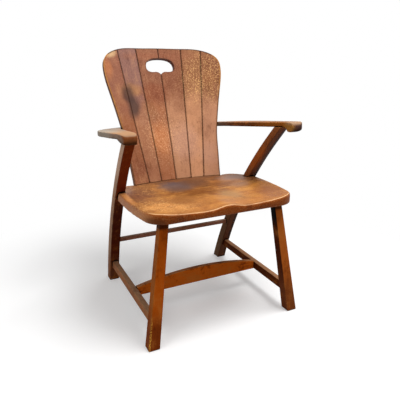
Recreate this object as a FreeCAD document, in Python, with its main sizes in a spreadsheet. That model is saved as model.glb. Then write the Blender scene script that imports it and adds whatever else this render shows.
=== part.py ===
import FreeCAD, Part
import Sketcher
import math
import os

from FreeCAD import Placement, Rotation, Vector

# Captain's chair in solid wood, in millimetres.
# X runs to the right as one stands in front of the chair, Y runs from front to back, Z is up.
# Left and right in the names are as seen from the front. The left half mirrors the right half.

SIZES = [
    # name, value, meaning
    ("seat_underside", 405, "height of the seat's underside above the floor"),
    ("seat_thickness", 33, "seat plank at its rims"),
    ("seat_front", -222, "front edge of the seat"),
    ("seat_front_half", 257, "half width of the seat behind the front corners"),
    ("seat_front_corner", 68, "radius of the front corners"),
    ("seat_side_turn", 9.5, "how far the sides still run outward behind the front corners, in degrees"),
    ("seat_rear_gain", 11, "how much further out the sides of the seat are behind the posts"),
    ("seat_rear_corner_front", 120, "where the rear corners begin"),
    ("seat_edge_round", 5, "rounding of the upper outer edge"),
    ("seat_boards", 4, "boards glued up for the seat"),
    ("scoop_depth", 11, "depth of the two sitting hollows"),
    ("scoop_dip_half", 92, "distance of each hollow from the middle"),
    ("scoop_front_drop", 10, "depth of the hollows where they run out at the front"),
    ("scoop_rear_drop", 12, "depth of the hollows at the back"),
    ("pommel_drop", 0.5, "how far the middle ridge lies below the rims at the front"),
    ("back_lean", 18.2, "lean of the back from upright, in degrees"),
    ("back_foot", 205, "front face of the back at the seat's underside, in the middle"),
    ("back_radius", 510, "radius of the hollow front face of the back"),
    ("stave_thickness", 20, "thickness of the staves"),
    ("stave_groove", 1.6, "bevel along each stave joint"),
    ("stave_foot_gap", 3, "height of the stave feet above the seat's underside"),
    ("back_foot_half", 180, "half width of the back at the seat"),
    ("back_wide_half", 237, "half width of the back at its widest"),
    ("back_wide_height", 445, "distance up the back to its widest place"),
    ("back_height", 542, "distance up the back to the top of the arch"),
    ("back_corner_half", 189, "half width where the top arch meets the rounded corners"),
    ("back_corner_height", 517, "distance up the back to the ends of the top arch"),
    ("inner_joint_foot", 61.3, "joint between first and second staves, at the seat"),
    ("inner_joint_top", 94.1, "the same joint at the top"),
    ("outer_joint_foot", 112.5, "joint between second and third staves, at the seat"),
    ("outer_joint_top", 173.7, "the same joint at the top"),
    ("hold_half", 59, "half length of the hand-hold"),
    ("hold_floor", 448.5, "distance up the back to the floor of the hand-hold"),
    ("hold_height", 54, "height of the hand-hold"),
    ("hold_cusp", 10, "depth of the cusp in the floor of the hand-hold"),
    ("leg_foot_side", 261.5, "middle of the front foot from the centre line"),
    ("leg_foot_front", -200, "middle of the front foot, front to back"),
    ("leg_splay", 8.45, "outward splay of the front legs, in degrees"),
    ("leg_rake", 3.6, "forward rake of the front legs, in degrees"),
    ("leg_foot_width", 37.4, "square of the front leg at the floor"),
    ("leg_top_width", 28.6, "square of the front leg at the seat"),
    ("leg_round", 2.5, "rounding of the arrises of the front legs"),
    ("leg_foot_bevel", 2, "bevel round the feet of the front legs"),
    ("leg_tenon_radius", 11, "radius of the round tenon of the front legs"),
    ("leg_tenon_length", 17, "length of that tenon in the seat"),
    ("post_foot_side", 254, "middle of the post foot from the centre line"),
    ("post_foot_back", 327.5, "middle of the post foot, front to back"),
    ("post_lean", 1.14, "outward lean of the posts, in degrees"),
    ("post_foot_width", 38, "width of the post at the floor, seen from the front"),
    ("post_top_width", 32.8, "width of the post under the arm, seen from the front"),
    ("post_lower_rake", 20.6, "forward rake of the post below its bend, in degrees"),
    ("post_upper_rake", 45, "forward rake of the post above its bend, in degrees"),
    ("post_bend_height", 350, "height of the bend of the post"),
    ("post_bend_length", 360, "length of post that the bend takes up on each side"),
    ("post_foot_depth", 42, "depth of the post across its side at the floor"),
    ("post_bend_depth", 33.5, "depth of the post at the bend"),
    ("post_top_depth", 25.5, "depth of the post under the arm"),
    ("post_round", 3, "rounding of the arrises of the posts"),
    ("post_tenon_radius", 8, "radius of the tenon from post to arm"),
    ("post_tenon_length", 13, "length of that tenon in the arm"),
    ("arm_height", 636, "height of the arm's underside on the line of the front legs' rear face"),
    ("arm_pitch", 4.6, "rise of the arms toward the front, in degrees"),
    ("arm_thickness", 17, "thickness of the arm boards"),
    ("arm_front", -166, "front of the rolled end of the arm"),
    ("arm_front_inner", 263, "inner edge of the arm at the front"),
    ("arm_front_outer", 312.5, "outer edge of the arm at the front"),
    ("arm_rear_inner", 197, "inner edge of the arm where it meets the back"),
    ("arm_rear_outer", 318, "outer edge of the arm where it starts to turn in"),
    ("arm_rear_corner", 55, "where the outer edge starts to turn in, front to back"),
    ("arm_throat_half", 216.5, "inner edge of the arm where it starts to turn in to the back"),
    ("arm_throat_back", 195, "place of that turn, front to back"),
    ("arm_roll_height", 34, "height of the rolled front end"),
    ("arm_roll_end", 25, "rounding of the outer end of the roll, seen from the front"),
    ("arm_front_round", 24, "rounding of the outer front corner of the arm, seen from above"),
    ("bow_depth", 58, "depth of the rail behind the staves"),
    ("bow_lap_inner", 118, "inner end of the half-lap of arm and rail"),
    ("bow_lap_outer", 158, "outer end of the half-lap of arm and rail"),
    ("stretcher_height", 85.5, "middle of the side stretchers above the floor"),
    ("stretcher_width", 20, "width of the side stretchers"),
    ("stretcher_depth", 31, "depth of the side stretchers"),
    ("stretcher_round", 3, "rounding of the stretchers' arrises"),
    ("tenon_width", 11, "thickness of the stretchers' tenons"),
    ("tenon_depth", 19, "depth of the side stretchers' tenons"),
    ("cross_back", 17, "middle of the centre stretcher, front to back"),
    ("cross_thickness", 18, "thickness of the centre stretcher"),
    ("cross_floor", 71, "straight lower edge of the centre stretcher"),
    ("cross_end_depth", 30, "depth of the centre stretcher at its ends"),
    ("cross_middle_depth", 59, "depth of the centre stretcher in the middle"),
    ("rear_height", 201.5, "middle of the rear stretcher above the floor"),
    ("rear_width", 16, "thickness of the rear stretcher"),
    ("rear_depth", 16, "depth of the rear stretcher"),
    ("fit", 0.1, "clearance round tenons"),
    ("end_gap", 1, "free space at the end of each tenon"),
    ("screw_radius", 2.2, "radius of the screws' shanks"),
    ("screw_head", 4, "radius of the screws' heads"),
    ("plug_radius", 4.5, "radius of the wooden plugs over the screws"),
    ("plug_length", 6, "length of the wooden plugs"),
]

doc = FreeCAD.newDocument("captains_chair")
sheet = doc.addObject("Spreadsheet::Sheet", "sizes")
for row, (alias, value, meaning) in enumerate(SIZES, start=1):
    sheet.set("A%d" % row, meaning)
    sheet.set("B%d" % row, str(value))
    sheet.setAlias("B%d" % row, alias)
doc.recompute()


def size(alias):
    return float(sheet.get(alias))


def tangent(alias):
    return math.tan(math.radians(size(alias)))


UP = Vector(0, 0, 1)
HEAD_LENGTH = 3
THROUGH = 900
ROUGH = 20  # size at which a bound sketch is first drawn


# Small helpers for bodies, sketches and features


def new_body(name):
    return doc.addObject("PartDesign::Body", name)


def origin_plane(body, role):
    return [feature for feature in body.Origin.OriginFeatures if feature.Role == role][0]


def new_sketch(body, name, role="XY_Plane", offset=None):
    made = body.newObject("Sketcher::SketchObject", name)
    made.AttachmentSupport = (origin_plane(body, role), "")
    made.MapMode = "FlatFace"
    if offset is not None:
        made.AttachmentOffset = offset
    return made


def named(sketch, name, constraint, expression):
    index = sketch.addConstraint(constraint)
    sketch.renameConstraint(index, name)
    sketch.setExpression("Constraints." + name, expression)


def loop(sketch, curves):
    """Add curves end to end as one closed outline. An arc may be stored the other way round."""
    ends = []
    for curve in curves:
        index = sketch.addGeometry(curve, False)
        start, finish = sketch.getPoint(index, 1), sketch.getPoint(index, 2)
        kept = (start - curve.StartPoint).Length < (finish - curve.StartPoint).Length
        ends.append((index, 1, 2) if kept else (index, 2, 1))
    for here, after in zip(ends, ends[1:] + ends[:1]):
        sketch.addConstraint(Sketcher.Constraint("Coincident", here[0], here[2], after[0], after[1]))


def polygon(points):
    corners = [Vector(x, y, 0) for x, y in points]
    return [Part.LineSegment(a, b) for a, b in zip(corners, corners[1:] + corners[:1])]


def rectangle(body, name, x, y, wide, deep, role="XY_Plane", offset=None):
    """A rectangle about (x, y), with its sizes and place bound to the sheet."""
    made = new_sketch(body, name, role, offset)
    left, front = "(%s) - (%s) / 2" % (x, wide), "(%s) - (%s) / 2" % (y, deep)
    w = d = ROUGH
    x0 = y0 = -ROUGH / 2
    loop(made, polygon([(x0, y0), (x0 + w, y0), (x0 + w, y0 + d), (x0, y0 + d)]))
    for edge in (0, 2):
        made.addConstraint(Sketcher.Constraint("Horizontal", edge))
    for edge in (1, 3):
        made.addConstraint(Sketcher.Constraint("Vertical", edge))
    named(made, "wide", Sketcher.Constraint("DistanceX", 0, 1, 0, 2, w), wide)
    named(made, "deep", Sketcher.Constraint("DistanceY", 1, 1, 1, 2, d), deep)
    named(made, "left", Sketcher.Constraint("DistanceX", -1, 1, 0, 1, x0), left)
    named(made, "front", Sketcher.Constraint("DistanceY", -1, 1, 0, 1, y0), front)
    return made


def rounded_rectangle(body, name, x, y, wide, deep, rounding, offset=None):
    """A rectangle about (x, y) with eased corners, bound to the sheet."""
    made = new_sketch(body, name, "XY_Plane", offset)
    left, front = "(%s) - (%s) / 2" % (x, wide), "(%s) - (%s) / 2" % (y, deep)
    w = d = ROUGH
    r = ROUGH / 10
    x0 = y0 = -ROUGH / 2
    x1, y1 = x0 + w, y0 + d
    sides = [
        line((x0 + r, y0), (x1 - r, y0)),
        line((x1, y0 + r), (x1, y1 - r)),
        line((x1 - r, y1), (x0 + r, y1)),
        line((x0, y1 - r), (x0, y0 + r)),
    ]
    middles = [(x1 - r, y0 + r), (x1 - r, y1 - r), (x0 + r, y1 - r), (x0 + r, y0 + r)]
    for k, (side, (mx, my)) in enumerate(zip(sides, middles)):
        made.addGeometry(side, False)
        turn = (k - 1) * math.pi / 2
        circle = Part.Circle(Vector(mx, my, 0), UP, r)
        made.addGeometry(Part.ArcOfCircle(circle, turn, turn + math.pi / 2), False)
    for k in range(8):
        made.addConstraint(Sketcher.Constraint("Tangent", k, 2, (k + 1) % 8, 1))
    for k in (3, 5, 7):
        made.addConstraint(Sketcher.Constraint("Equal", 1, k))
    for k in (0, 4):
        made.addConstraint(Sketcher.Constraint("Horizontal", k))
        made.addConstraint(Sketcher.Constraint("Vertical", k + 2))
    named(made, "rounding", Sketcher.Constraint("Radius", 1, r), rounding)
    named(made, "wide", Sketcher.Constraint("DistanceX", 6, 1, 2, 1, w), wide)
    named(made, "deep", Sketcher.Constraint("DistanceY", 0, 1, 4, 1, d), deep)
    named(made, "left", Sketcher.Constraint("DistanceX", -1, 1, 6, 1, x0), left)
    named(made, "front", Sketcher.Constraint("DistanceY", -1, 1, 0, 1, y0), front)
    return made


def pad(body, name, sketch, length, centred=False):
    made = body.newObject("PartDesign::Pad", name)
    made.Profile = sketch
    made.Midplane = centred
    made.setExpression("Length", length)
    return made


def arc(start, finish, radius):
    """An arc between two (x, y) points. A positive radius bulges to the right of the way taken."""
    a, b = Vector(start[0], start[1], 0), Vector(finish[0], finish[1], 0)
    chord = b - a
    half = chord.Length / 2
    sagitta = abs(radius) - math.sqrt(radius * radius - half * half)
    side = Vector(chord.y, -chord.x, 0).normalize()
    middle = (a + b) * 0.5 + side * math.copysign(sagitta, radius)
    return Part.Arc(a, middle, b)


def spline(points):
    curve = Part.BSplineCurve()
    curve.interpolate([Vector(x, y, 0) for x, y in points])
    return curve


def line(start, finish):
    return Part.LineSegment(Vector(start[0], start[1], 0), Vector(finish[0], finish[1], 0))


def round_edges(body, name, radius, wanted):
    """Fillet the edges of the body so far that the test picks."""
    doc.recompute()
    base = body.Tip
    edges = ["Edge%d" % (i + 1) for i, edge in enumerate(base.Shape.Edges) if wanted(edge)]
    made = body.newObject("PartDesign::Fillet", name)
    made.Base = (base, edges)
    made.setExpression("Radius", radius)
    return made


def cylinder(name, start, direction, radius, length):
    made = doc.addObject("Part::Cylinder", name)
    made.Radius = radius
    made.Height = length
    made.Placement = Placement(start, Rotation(UP, direction))
    return made


def fuse(name, shapes):
    made = doc.addObject("Part::MultiFuse", name)
    made.Shapes = shapes
    return made


def common(name, base, tool):
    made = doc.addObject("Part::Common", name)
    made.Base = base
    made.Tool = tool
    return made


def cut(name, base, tools):
    made = doc.addObject("Part::Cut", name)
    made.Base = base
    made.Tool = tools[0] if len(tools) == 1 else fuse(name + "_tools", tools)
    return made


def mirror(name, source):
    made = doc.addObject("Part::Mirroring", name)
    made.Source = source
    made.Normal = Vector(1, 0, 0)
    return made


def group(name, shapes):
    made = doc.addObject("Part::Compound", name)
    made.Links = shapes
    return made


def both_sides(name, right):
    """Name the right piece and add its mirror image, and return the two."""
    right.Label = name + "_right"
    return right, mirror(name + "_left", right)


def bar(name, start, finish, wide, deep, rounding="0.3", beyond=0):
    """A straight rail of rectangular section from start to finish, its depth upright."""
    body = new_body(name)
    section = rounded_rectangle(body, name + "_section", "0", "0", wide, deep, rounding)
    way = finish - start
    pad(body, name + "_length", section, "%f" % (way.Length + 2 * beyond))
    way = way.normalize()
    body.Placement = Placement(start - way * beyond, Rotation(way.cross(UP) * -1, UP, way, "ZYX"))
    return body


# Front legs: square, tapered toward the seat and splayed, with a round tenon


def leg_middle(height):
    return Vector(
        size("leg_foot_side") - height * tangent("leg_splay"),
        size("leg_foot_front") + height * tangent("leg_rake"),
        height,
    )


LEG_WAY = (leg_middle(1) - leg_middle(0)).normalize()


def leg_section(body, name, height, wide):
    made = rounded_rectangle(
        body, name,
        "sizes.leg_foot_side - (%s) * tan(sizes.leg_splay)" % height,
        "sizes.leg_foot_front + (%s) * tan(sizes.leg_rake)" % height,
        wide, wide, "sizes.leg_round",
    )
    made.setExpression("AttachmentOffset.Base.z", height)
    return made


def front_leg():
    body = new_body("leg_blank")
    foot = leg_section(body, "leg_foot", "0", "sizes.leg_foot_width - 2 * sizes.leg_foot_bevel")
    above_bevel = leg_section(body, "leg_above_bevel", "sizes.leg_foot_bevel", "sizes.leg_foot_width")
    top = leg_section(body, "leg_top", "sizes.seat_underside", "sizes.leg_top_width")
    taper = body.newObject("PartDesign::AdditiveLoft", "leg_taper")
    taper.Profile = foot
    taper.Sections = [above_bevel, top]
    taper.Ruled = True
    tenon = body.newObject("PartDesign::AdditiveCylinder", "leg_tenon")
    tenon.setExpression("Radius", "sizes.leg_tenon_radius")
    tenon.setExpression("Height", "2 * sizes.leg_tenon_length")
    tenon.AttachmentSupport = (origin_plane(body, "XY_Plane"), "")
    tenon.MapMode = "FlatFace"
    start = leg_middle(size("seat_underside")) - LEG_WAY * size("leg_tenon_length")
    tenon.AttachmentOffset = Placement(start, Rotation(UP, LEG_WAY))
    return body


# Rear posts: one sawn piece from the rear foot, through the seat's side, to the arm


def post_side_profile():
    """The middle line of the post seen from the side, as (Y, Z) knots, with the depth there."""
    lower, upper = tangent("post_lower_rake"), tangent("post_upper_rake")
    bend, reach = size("post_bend_height"), size("post_bend_length")
    foot_back = size("post_foot_back")
    bend_back = foot_back - bend * lower
    return foot_back, bend_back, bend, reach, lower, upper


def post_edge(side, low, high):
    """One sawn edge: straight, a tangent arc round the bend, straight. Side is 1 at the back."""
    foot_back, bend_back, bend, reach, lower, upper = post_side_profile()
    below = Vector(-lower, 1, 0).normalize()
    above = Vector(-upper, 1, 0).normalize()
    knee = Vector(bend_back, bend, 0)

    def beside(point, way, depth):
        across = Vector(way.y, -way.x, 0).normalize() * side
        return point + across * (size(depth) / 2)

    foot = beside(knee - below * ((bend - low) / below.y), below, "post_foot_depth")
    top = beside(knee + above * ((high - bend) / above.y), above, "post_top_depth")
    corner = beside(knee, below + above, "post_bend_depth")
    before = corner + (foot - corner).normalize() * reach
    after = corner + (top - corner).normalize() * reach
    return foot, before, after, top


def tangent_arc(start, way, finish):
    """The arc that leaves start along way and ends at finish."""
    chord = finish - start
    turn = math.atan2(chord.y, chord.x) - math.atan2(way.y, way.x)
    radius = chord.Length / 2 / abs(math.sin(turn))
    return arc((start.x, start.y), (finish.x, finish.y), math.copysign(radius, turn))


def post_half_width(height):
    """Half the width of the post at a height, seen from the front."""
    foot, top = size("post_foot_width"), size("post_top_width")
    return (foot + (top - foot) * height / size("arm_height")) / 2


def turned(way, chord):
    """The direction in which a tangent arc over this chord ends."""
    chord = Vector(chord).normalize()
    return chord * (2 * way.dot(chord)) - way


def retraced(curve, side=1):
    """The same arc taken the other way, in the left half if side is -1."""
    middle = curve.value((curve.FirstParameter + curve.LastParameter) / 2)
    points = (curve.EndPoint, middle, curve.StartPoint)
    return Part.Arc(*[Vector(side * point.x, point.y, 0) for point in points])


def rear_post():
    body = new_body("post_blank")
    profile = new_sketch(body, "post_side", "YZ_Plane")
    low, high = -60, size("arm_height") + 80
    front = post_edge(-1, low, high)
    back = post_edge(1, low, high)
    loop(profile, [
        Part.LineSegment(front[0], front[1]),
        tangent_arc(front[1], front[1] - front[0], front[2]),
        Part.LineSegment(front[2], front[3]),
        Part.LineSegment(front[3], back[3]),
        Part.LineSegment(back[3], back[2]),
        tangent_arc(back[2], back[2] - back[3], back[1]),
        Part.LineSegment(back[1], back[0]),
        Part.LineSegment(back[0], front[0]),
    ])
    pad(body, "post_plank", profile, "sizes.post_foot_width + 4", centred=True)
    taper = new_sketch(body, "post_front", "XZ_Plane")
    for side in (1, -1):
        near = [(side * post_half_width(height), height) for height in (low - 5, high + 5)]
        far = side * (size("post_foot_width") / 2 + 10)
        loop(taper, polygon([near[0], near[1], (far, near[1][1]), (far, near[0][1])]))
    planed = body.newObject("PartDesign::Pocket", "post_taper")
    planed.Profile = taper
    planed.Midplane = True
    planed.Length = 2 * THROUGH
    round_edges(
        body, "post_arrises", "sizes.post_round",
        lambda edge: edge.Length > 100,
    )
    leaning = Rotation(Vector(0, 1, 0), size("post_lean"))
    body.Placement = Placement(Vector(size("post_foot_side"), 0, 0), leaning)
    return body


def post_middle(height):
    """Middle of the post at a height: straight at the foot and at the top, on an arc between."""
    foot_back, bend_back, bend, reach, lower, upper = post_side_profile()
    low, high = math.atan(lower), math.atan(upper)
    radius = reach / math.tan((high - low) / 2)
    start = Vector(bend_back + reach * math.sin(low), bend - reach * math.cos(low), 0)
    centre = start - Vector(math.cos(low), math.sin(low), 0) * radius
    if height < start.y:
        back = foot_back - height * lower
    elif height > bend + reach * math.cos(high):
        back = bend_back - (height - bend) * upper
    else:
        back = centre.x + math.sqrt(radius * radius - (height - centre.y) ** 2)
    return Vector(size("post_foot_side") + height * tangent("post_lean"), back, height)


# The plane of the arms rises toward the front

ARM_FRAME = Placement(Vector(0, 0, size("arm_height")), Rotation(Vector(1, 0, 0), -size("arm_pitch")))


def post_room():
    """All the room between the floor and the underside of the arms."""
    body = new_body("under_the_arms")
    side = new_sketch(body, "under_the_arms_side", "YZ_Plane")
    fall = tangent("arm_pitch")
    high = size("arm_height")
    loop(side, polygon([
        (-THROUGH, 0), (THROUGH, 0), (THROUGH, high - THROUGH * fall), (-THROUGH, high + THROUGH * fall),
    ]))
    pad(body, "under_the_arms_width", side, "%d" % (2 * THROUGH), centred=True)
    return body


def arm_tenon_place():
    """Where the middle of the post meets the underside of the arm."""
    knee_back = post_side_profile()[1]
    upper, fall, bend = tangent("post_upper_rake"), tangent("arm_pitch"), size("post_bend_height")
    height = (size("arm_height") - fall * (knee_back + bend * upper)) / (1 - fall * upper)
    return post_middle(height)


ARM_UP = ARM_FRAME.Rotation.multVec(UP)

# Back: coopered staves between fanned joints, on one hollow cylinder that leans back

BACK_FRAME = Placement(
    Vector(0, size("back_foot"), size("seat_underside")),
    Rotation(Vector(1, 0, 0), -size("back_lean")),
)
STAVE_START = -40
STAVE_FINISH = size("back_height") + 20


def joint_half(joint, along):
    """Half width to a stave joint at a distance up the back."""
    foot, top = size(joint + "_joint_foot"), size(joint + "_joint_top")
    return foot + (top - foot) * along / size("back_height")


def on_cylinder(half, radius, aside=0):
    """A point on the radius through a half width of the front face, set aside along the face."""
    front = size("back_radius")
    turn = math.asin(half / front) + aside / front
    return (radius * math.sin(turn), radius * math.cos(turn) - front)


def back_shell():
    """The hollow back before it is parted into staves and sawn: part of a tube."""
    body = new_body("back_shell")
    low_plane = Placement(Vector(0, 0, STAVE_START), Rotation())
    section = new_sketch(body, "back_shell_section", "XY_Plane", low_plane)
    front = size("back_radius")
    rear = front + size("stave_thickness")
    half = size("back_wide_half") + 20
    face = [on_cylinder(-half, front), on_cylinder(half, front)]
    back = [on_cylinder(half, rear), on_cylinder(-half, rear)]
    loop(section, [
        arc(face[0], face[1], -front),
        line(face[1], back[0]),
        arc(back[0], back[1], rear),
        line(back[1], face[0]),
    ])
    pad(body, "back_shell_length", section, "%d" % (STAVE_FINISH - STAVE_START))
    body.Placement = BACK_FRAME
    return body


def wedge_section(body, name, inner, outer, along):
    """Radial joint faces behind, and a bevel at each front arris."""
    front, bevel = size("back_radius"), size("stave_groove")
    far, near = 40, 15
    made = new_sketch(body, name, "XY_Plane", Placement(Vector(0, 0, along), Rotation()))
    loop(made, polygon([
        on_cylinder(inner, front - near, bevel + near),
        on_cylinder(outer, front - near, -bevel - near),
        on_cylinder(outer, front + bevel),
        on_cylinder(outer, front + far),
        on_cylinder(inner, front + far),
        on_cylinder(inner, front + bevel),
    ]))
    return made


def stave_wedge(name, inner, outer):
    """The room of one fanned stave, wider at the top."""
    body = new_body(name)
    sections = [
        wedge_section(body, "%s_section_%d" % (name, k), inner(along), outer(along), along)
        for k, along in enumerate((STAVE_START, STAVE_FINISH))
    ]
    loft = body.newObject("PartDesign::AdditiveLoft", name + "_loft")
    loft.Profile = sections[0]
    loft.Sections = sections[1:]
    loft.Ruled = True
    body.Placement = BACK_FRAME
    return body


def back_outline_curves():
    """Waisted sides that spread toward the top, large rounded corners and a low arch."""
    foot, wide, corner = size("back_foot_half"), size("back_wide_half"), size("back_corner_half")
    wide_height, corner_height = size("back_wide_height"), size("back_corner_height")
    top = size("back_height")
    spread, rise = wide - foot, corner_height - wide_height
    side = [
        (foot + spread * part, wide_height * along)
        for part, along in (
            (0, -0.09), (0.026, 0.137), (0.07, 0.21), (0.193, 0.43), (0.326, 0.534), (0.519, 0.661), (0.751, 0.8),
            (0.935, 0.91), (1, 1),
        )
    ]
    reach = wide - corner
    shoulder = [
        (wide, wide_height),
        (wide - reach * 0.035, wide_height + rise * 0.29),
        (wide - reach * 0.171, wide_height + rise * 0.53),
        (wide - reach * 0.54, wide_height + rise * 0.81),
        (corner, corner_height),
    ]
    arch = [
        (corner, corner_height),
        (corner * 0.87, corner_height + (top - corner_height) * 0.4),
        (corner * 0.44, corner_height + (top - corner_height) * 0.86),
        (0, top),
    ]
    right = side + shoulder[1:] + arch[1:-1]
    points = right + [(0, top)] + [(-x, y) for x, y in reversed(right)]
    return [spline(points), line(points[-1], points[0])]


def back_outline():
    body = new_body("back_outline")
    face = new_sketch(body, "back_face", "XZ_Plane")
    loop(face, back_outline_curves())
    pad(body, "back_sawing", face, "300", centred=True)
    level = new_sketch(body, "back_foot_level", "YZ_Plane")
    lean = math.radians(size("back_lean"))
    along = Vector(math.cos(lean), math.sin(lean), 0)
    start = Vector(0, size("stave_foot_gap") / math.cos(lean), 0)
    ends = [start - along * 200, start + along * 200]
    loop(level, polygon([
        (ends[0].x, ends[0].y),
        (ends[0].x, ends[0].y - 300),
        (ends[1].x, ends[0].y - 300),
        (ends[1].x, ends[1].y),
    ]))
    trim = body.newObject("PartDesign::Pocket", "back_foot_cut")
    trim.Profile = level
    trim.Midplane = True
    trim.Length = THROUGH
    body.Placement = BACK_FRAME
    return body


def hand_hold():
    """The grip: rounded ends, a low arch above and a cusp in the middle of the floor."""
    body = new_body("hand_hold")
    face = new_sketch(body, "hand_hold_face", "XZ_Plane")
    half, floor, height, cusp = size("hold_half"), size("hold_floor"), size("hold_height"), size("hold_cusp")
    right = [
        (half * 0.4, floor), (half * 0.7, floor),
        (half * 0.93, floor + height * 0.12), (half, floor + height * 0.4),
        (half * 0.86, floor + height * 0.74), (half * 0.5, floor + height * 0.94), (0, floor + height),
    ]
    top = right + [(-x, y) for x, y in reversed(right[:-1])]
    loop(face, [
        spline(top),
        spline([top[-1], (-half * 0.14, floor - cusp * 0.3), (0, floor - cusp)]),
        spline([(0, floor - cusp), (half * 0.14, floor - cusp * 0.3), top[0]]),
    ])
    pad(body, "hand_hold_depth", face, "200", centred=True)
    body.Placement = BACK_FRAME
    return body


# Seat: a glued plank, scooped into two hollows with a ridge between them at the front


def panel_arc_point(half):
    """A point of the seat's rear edge, in the middle of the staves' thickness."""
    radius = size("back_radius") * math.cos(math.radians(size("back_lean"))) + size("stave_thickness") / 2
    middle = size("back_foot") + size("stave_thickness") * 0.75
    return half, middle - radius + math.sqrt(radius * radius - half * half), radius


def scoop_station(body, name, back, rim_half, dip, ridge):
    """The section of the scoop at one place: rims outside, a hollow each side, a ridge between."""
    made = new_sketch(body, name, "XZ_Plane", Placement(Vector(0, 0, -back), Rotation()))
    top = size("seat_underside") + size("seat_thickness")
    dip_half = size("scoop_dip_half")
    right = [
        (0, top - ridge),
        (dip_half * 0.24, top - ridge - (dip - ridge) * 0.3),
        (dip_half * 0.52, top - ridge - (dip - ridge) * 0.85),
        (dip_half, top - dip),
        ((dip_half + rim_half) / 2, top - dip * 0.72),
        (rim_half, top),
        (rim_half + 40, top + 14),
    ]
    left = [(-x, z) for x, z in reversed(right[1:])]
    lid = top + 60
    ends = right[-1][0]
    loop(made, [
        spline(left + right),
        line(right[-1], (ends, lid)),
        line((ends, lid), (-ends, lid)),
        line((-ends, lid), left[0]),
    ])
    return made


def scoop(body):
    """Hollow the plank by a cutter lofted through its sections from front to back."""
    front, rear = size("seat_front"), size("back_foot")
    deep = size("scoop_depth")
    front_drop, rear_drop, pommel = size("scoop_front_drop"), size("scoop_rear_drop"), size("pommel_drop")
    stations = [
        (front - 40, 190, front_drop - 1, pommel),
        (front, 205, front_drop, pommel),
        (front + 90, 250, deep, deep * 0.5),
        (front * 0.25, 256, deep + 1, deep * 0.8),
        (rear * 0.35, 256, deep + 1, deep),
        (rear * 0.75, 340, rear_drop, rear_drop),
        (rear + 60, 400, rear_drop, rear_drop),
    ]
    sections = [scoop_station(body, "scoop_section_%d" % k, *station) for k, station in enumerate(stations)]
    hollow = body.newObject("PartDesign::SubtractiveLoft", "seat_hollow")
    hollow.Profile = sections[0]
    hollow.Sections = sections[1:]


def seat_side_curves(foot):
    """The right side of the seat: a quarter round, a long bow and the round rear corner, all tangent."""
    corner, turn = size("seat_front_corner"), math.radians(size("seat_side_turn"))
    middle = Vector(size("seat_front_half") - corner * math.cos(turn), size("seat_front") + corner, 0)
    begin = middle + Vector(math.cos(turn), -math.sin(turn), 0) * corner
    rear_half = size("seat_front_half") + size("seat_rear_gain")
    rear = Vector(rear_half, size("seat_rear_corner_front"), 0)
    way = Vector(math.sin(turn), math.cos(turn), 0)
    after = turned(way, rear - begin)
    front = middle - Vector(0, corner, 0)
    return [
        arc((front.x, front.y), (begin.x, begin.y), corner),
        tangent_arc(begin, way, rear),
        tangent_arc(rear, after, foot),
    ]


def seat_blank():
    body = new_body("seat_blank")
    plan = new_sketch(body, "seat_plan")
    plan.setExpression("AttachmentOffset.Base.z", "sizes.seat_underside")
    foot_half, foot_back, rear_radius = panel_arc_point(size("back_foot_half") + 2)
    right = seat_side_curves(Vector(foot_half, foot_back, 0))
    left = [retraced(curve, -1) for curve in reversed(right)]
    front = [right[0].StartPoint, left[-1].EndPoint]
    loop(plan, right + [arc((foot_half, foot_back), (-foot_half, foot_back), rear_radius)] + left
         + [Part.LineSegment(front[1], front[0])])
    pad(body, "seat_plank", plan, "sizes.seat_thickness")
    scoop(body)
    round_edges(body, "seat_upper_edges", "sizes.seat_edge_round", seat_edge_is_eased)
    return body


def seat_edge_is_eased(edge):
    """The upper edges all round, except at the back under the staves."""
    room = edge.optimalBoundingBox(False, False)
    above = room.ZMin > size("seat_underside") + size("seat_thickness") / 2
    return above and room.YMin < size("seat_rear_corner_front") + 10


# Arms: boards sawn to plan and to side view, ending behind the back in a curved rail


def bow_radius(extra):
    """Radii of the rail behind the staves, about the middle of the back's curve."""
    return size("back_radius") * math.cos(math.radians(size("back_lean"))) + size("stave_thickness") + extra


def bow_middle():
    """Front-to-back place of the centre of the rail's curve, in the plane of the arms."""
    height = size("arm_height") - size("seat_underside") - size("stave_thickness")
    face = size("back_foot") + height * tangent("back_lean")
    return face - size("back_radius") * math.cos(math.radians(size("back_lean")))


def bow_point(half, radius):
    return half, bow_middle() + math.sqrt(radius * radius - half * half)


def arm_plan_curves():
    """Along the outer edge, round behind the back to the lap, and home along the inner edge."""
    front = size("arm_front") - 1
    near, far = size("arm_front_inner"), size("arm_front_outer")
    outside, inside = bow_radius(size("bow_depth")), bow_radius(-size("stave_thickness") / 2)
    lap = size("bow_lap_inner")
    start = Vector(size("arm_rear_outer"), size("arm_rear_corner"), 0)
    shoulder = start + Vector(-33, 150, 0)
    turn = Vector(*bow_point(size("bow_lap_outer") + 7, outside), 0)
    way = (start - Vector(far, front, 0)).normalize()
    tail, root = bow_point(lap, outside), bow_point(lap, inside)
    meet = Vector(*bow_point(size("arm_rear_inner") + 4, inside), 0)
    throat = Vector(size("arm_throat_half"), size("arm_throat_back"), 0)
    inward = (throat - Vector(near, front, 0)).normalize()
    return [
        line((near, front), (far, front)),
        line((far, front), start),
        tangent_arc(start, way, shoulder),
        tangent_arc(shoulder, turned(way, shoulder - start), turn),
        arc(turn, tail, outside),
        line(tail, root),
        arc(root, meet, -inside),
        retraced(tangent_arc(throat, inward, meet)),
        line(throat, (near, front)),
    ]


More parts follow.
